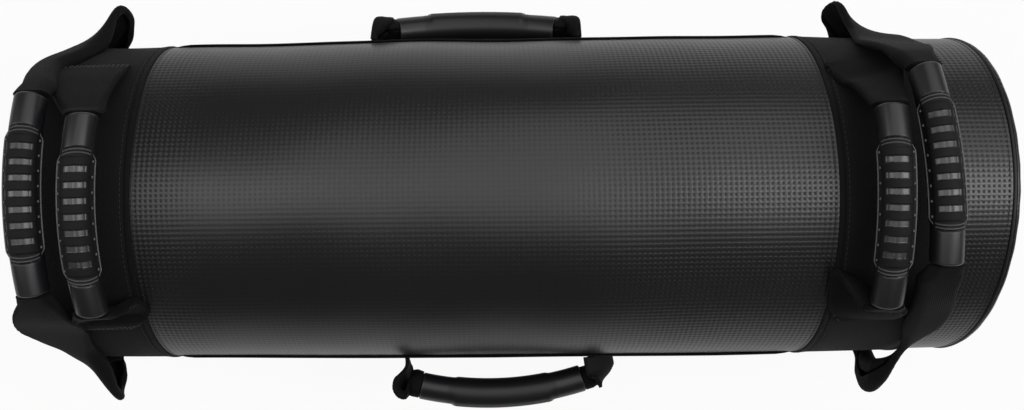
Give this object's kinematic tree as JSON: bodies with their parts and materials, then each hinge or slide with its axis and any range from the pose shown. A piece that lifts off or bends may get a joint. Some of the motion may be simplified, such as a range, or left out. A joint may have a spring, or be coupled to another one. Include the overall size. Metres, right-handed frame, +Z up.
{
  "type": "sandbag trainer",
  "caption": "Filled cylindrical training bag in embossed leather, woven bands at both ends, gripped webbing handles across the ends and along the sides, zipped filler end.",
  "frame": {"origin": "on the ground under the middle of the bag's length, on the flattened underside that the bag lies on", "axes": "+X along the bag from its zipped left end to its closed right end, +Y across the bag towards its back side handle, +Z up through the end handles"},
  "size_m": [0.6458, 0.3067, 0.2603],
  "materials": {
    "embossed_leather": "black synthetic leather, fine embossed grid with diagonal sheen, satin",
    "band_nylon": "black plain-woven nylon, matte",
    "hem_binding": "black folded binding, matte",
    "webbing_nylon": "black heavy woven nylon webbing, low sheen",
    "piping_cord": "black covered cord, satin",
    "grip_rubber": "charcoal moulded rubber, satin collars, matte ribs, glossy recesses",
    "zip_tape_cloth": "black woven tape",
    "zip_metal": "dark plated metal, satin",
    "padding_foam": "grey soft foam padding, matte",
    "filler_cloth": "cream tight-woven filler cloth, matte",
    "tie_webbing": "black narrow webbing tie, matte"
  },
  "bodies": {
    "bag": {"outer_sleeve": "embossed_leather", "left_band": "band_nylon", "right_band": "band_nylon", "left_band_hem": "hem_binding", "right_band_inner_hem": "hem_binding", "right_band_outer_hem": "hem_binding", "front_side_strip": "webbing_nylon", "back_side_strip": "webbing_nylon", "left_piping": "piping_cord", "right_piping": "piping_cord", "left_end_panel": "embossed_leather", "right_end_panel": "embossed_leather", "zip_tape": "zip_tape_cloth", "zip_closed_stop": "zip_metal", "zip_open_stop": "zip_metal", "foam_liner": "padding_foam", "left_end_pad": "padding_foam", "right_end_pad": "padding_foam", "filler_bag_1": "filler_cloth", "filler_bag_2": "filler_cloth", "filler_bag_3": "filler_cloth", "filler_tie_1": "tie_webbing", "filler_tie_2": "tie_webbing", "filler_tie_3": "tie_webbing"},
    "left_inner_handle": {"left_inner_grip": "grip_rubber", "left_inner_webbing": "webbing_nylon"},
    "left_outer_handle": {"left_outer_grip": "grip_rubber", "left_outer_webbing": "webbing_nylon"},
    "right_inner_handle": {"right_inner_grip": "grip_rubber", "right_inner_webbing": "webbing_nylon"},
    "right_outer_handle": {"right_outer_grip": "grip_rubber", "right_outer_webbing": "webbing_nylon"},
    "front_side_handle": {"front_side_grip": "grip_rubber", "front_side_webbing": "webbing_nylon"},
    "back_side_handle": {"back_side_grip": "grip_rubber", "back_side_webbing": "webbing_nylon"},
    "zip_slider_body": {"zip_slider": "zip_metal"},
    "zip_puller_body": {"zip_puller": "zip_metal"}
  },
  "joints": [
    {"name": "left_inner_swing", "type": "hinge", "parent": "bag", "child": "left_inner_handle", "pos_m": [-0.281, 0, 0.1752], "axis": [0, 1, 0], "range_deg": [-3, 19], "deforming": ["left_inner_webbing"]},
    {"name": "left_outer_swing", "type": "hinge", "parent": "bag", "child": "left_outer_handle", "pos_m": [-0.281, 0, 0.106], "axis": [0, 1, 0], "range_deg": [-45, 1.5], "deforming": ["left_outer_webbing"]},
    {"name": "right_inner_swing", "type": "hinge", "parent": "bag", "child": "right_inner_handle", "pos_m": [0.239, 0, 0.17665], "axis": [0, 1, 0], "range_deg": [-19, 1.5], "deforming": ["right_inner_webbing"]},
    {"name": "right_outer_swing", "type": "hinge", "parent": "bag", "child": "right_outer_handle", "pos_m": [0.239, 0, 0.106], "axis": [0, 1, 0], "range_deg": [-1, 18], "deforming": ["right_outer_webbing"]},
    {"name": "front_side_swing", "type": "hinge", "parent": "bag", "child": "front_side_handle", "pos_m": [-0.011, -0.11825, 0.106], "axis": [1, 0, 0], "range_deg": [-57, 57], "deforming": ["front_side_webbing"]},
    {"name": "back_side_swing", "type": "hinge", "parent": "bag", "child": "back_side_handle", "pos_m": [-0.026, 0.11818, 0.106], "axis": [1, 0, 0], "range_deg": [0, 114], "deforming": ["back_side_webbing"]},
    {"name": "zip_travel", "type": "slide", "parent": "bag", "child": "zip_slider_body", "axis": [0, 1, 0], "range_m": [-0.1626, 0]},
    {"name": "zip_puller_swing", "type": "hinge", "parent": "zip_slider_body", "child": "zip_puller_body", "pos_m": [-0.3238, 0.0813, 0.106], "axis": [0, 1, 0], "range_deg": [0, 170]}
  ]
}
